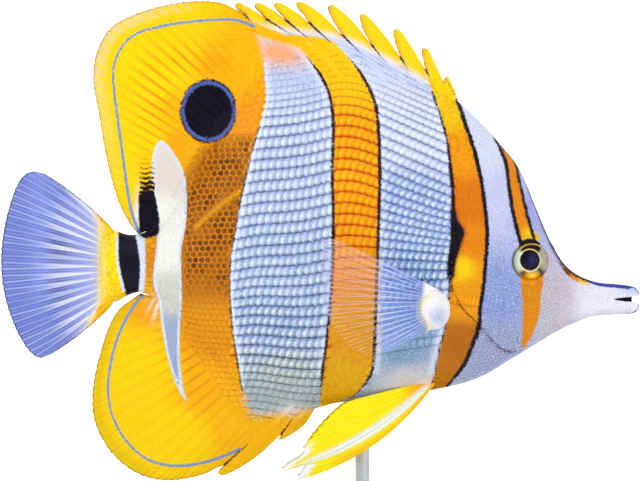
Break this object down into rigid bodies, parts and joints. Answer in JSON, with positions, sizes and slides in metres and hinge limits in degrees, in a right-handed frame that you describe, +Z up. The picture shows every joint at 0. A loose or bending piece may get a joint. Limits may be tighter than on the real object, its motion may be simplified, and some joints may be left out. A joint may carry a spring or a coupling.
{
  "type": "copperband butterflyfish model",
  "caption": "Life-size still copperband butterflyfish with long snout, spread fins and eye spot, held above a flat base by one short rod.",
  "frame": {"origin": "centre of the overall box in plan, at the underside of the stand's base", "axes": "+X points out of the snout, +Z up, +Y to the fish's left side"},
  "size_m": [0.1806, 0.066, 0.1676],
  "materials": {
    "silver_skin": "satin",
    "snout_skin": "satin",
    "orange_skin": "satin",
    "yellow_membrane": "satin",
    "blue_membrane": "satin",
    "clear_membrane": "satin",
    "eye_gloss": "gloss",
    "stand_wood": "satin",
    "stand_steel": "satin"
  },
  "bodies": {
    "root": {"torso": "silver_skin", "head": "silver_skin", "snout": "snout_skin", "upper_jaw": "snout_skin", "lower_jaw": "snout_skin", "peduncle": "orange_skin", "tail_fin": "blue_membrane", "dorsal_fin_spiny": "yellow_membrane", "dorsal_fin_soft": "yellow_membrane", "anal_fin_spiny": "yellow_membrane", "anal_fin_soft": "yellow_membrane", "gill_cover_right": "silver_skin", "eye_right": "eye_gloss", "pectoral_fin_right": "clear_membrane", "pelvic_fin_right": "yellow_membrane", "gill_cover_left": "silver_skin", "eye_left": "eye_gloss", "pectoral_fin_left": "clear_membrane", "pelvic_fin_left": "yellow_membrane", "stand_base": "stand_wood", "stand_rod": "stand_steel"}
  },
  "joints": []
}
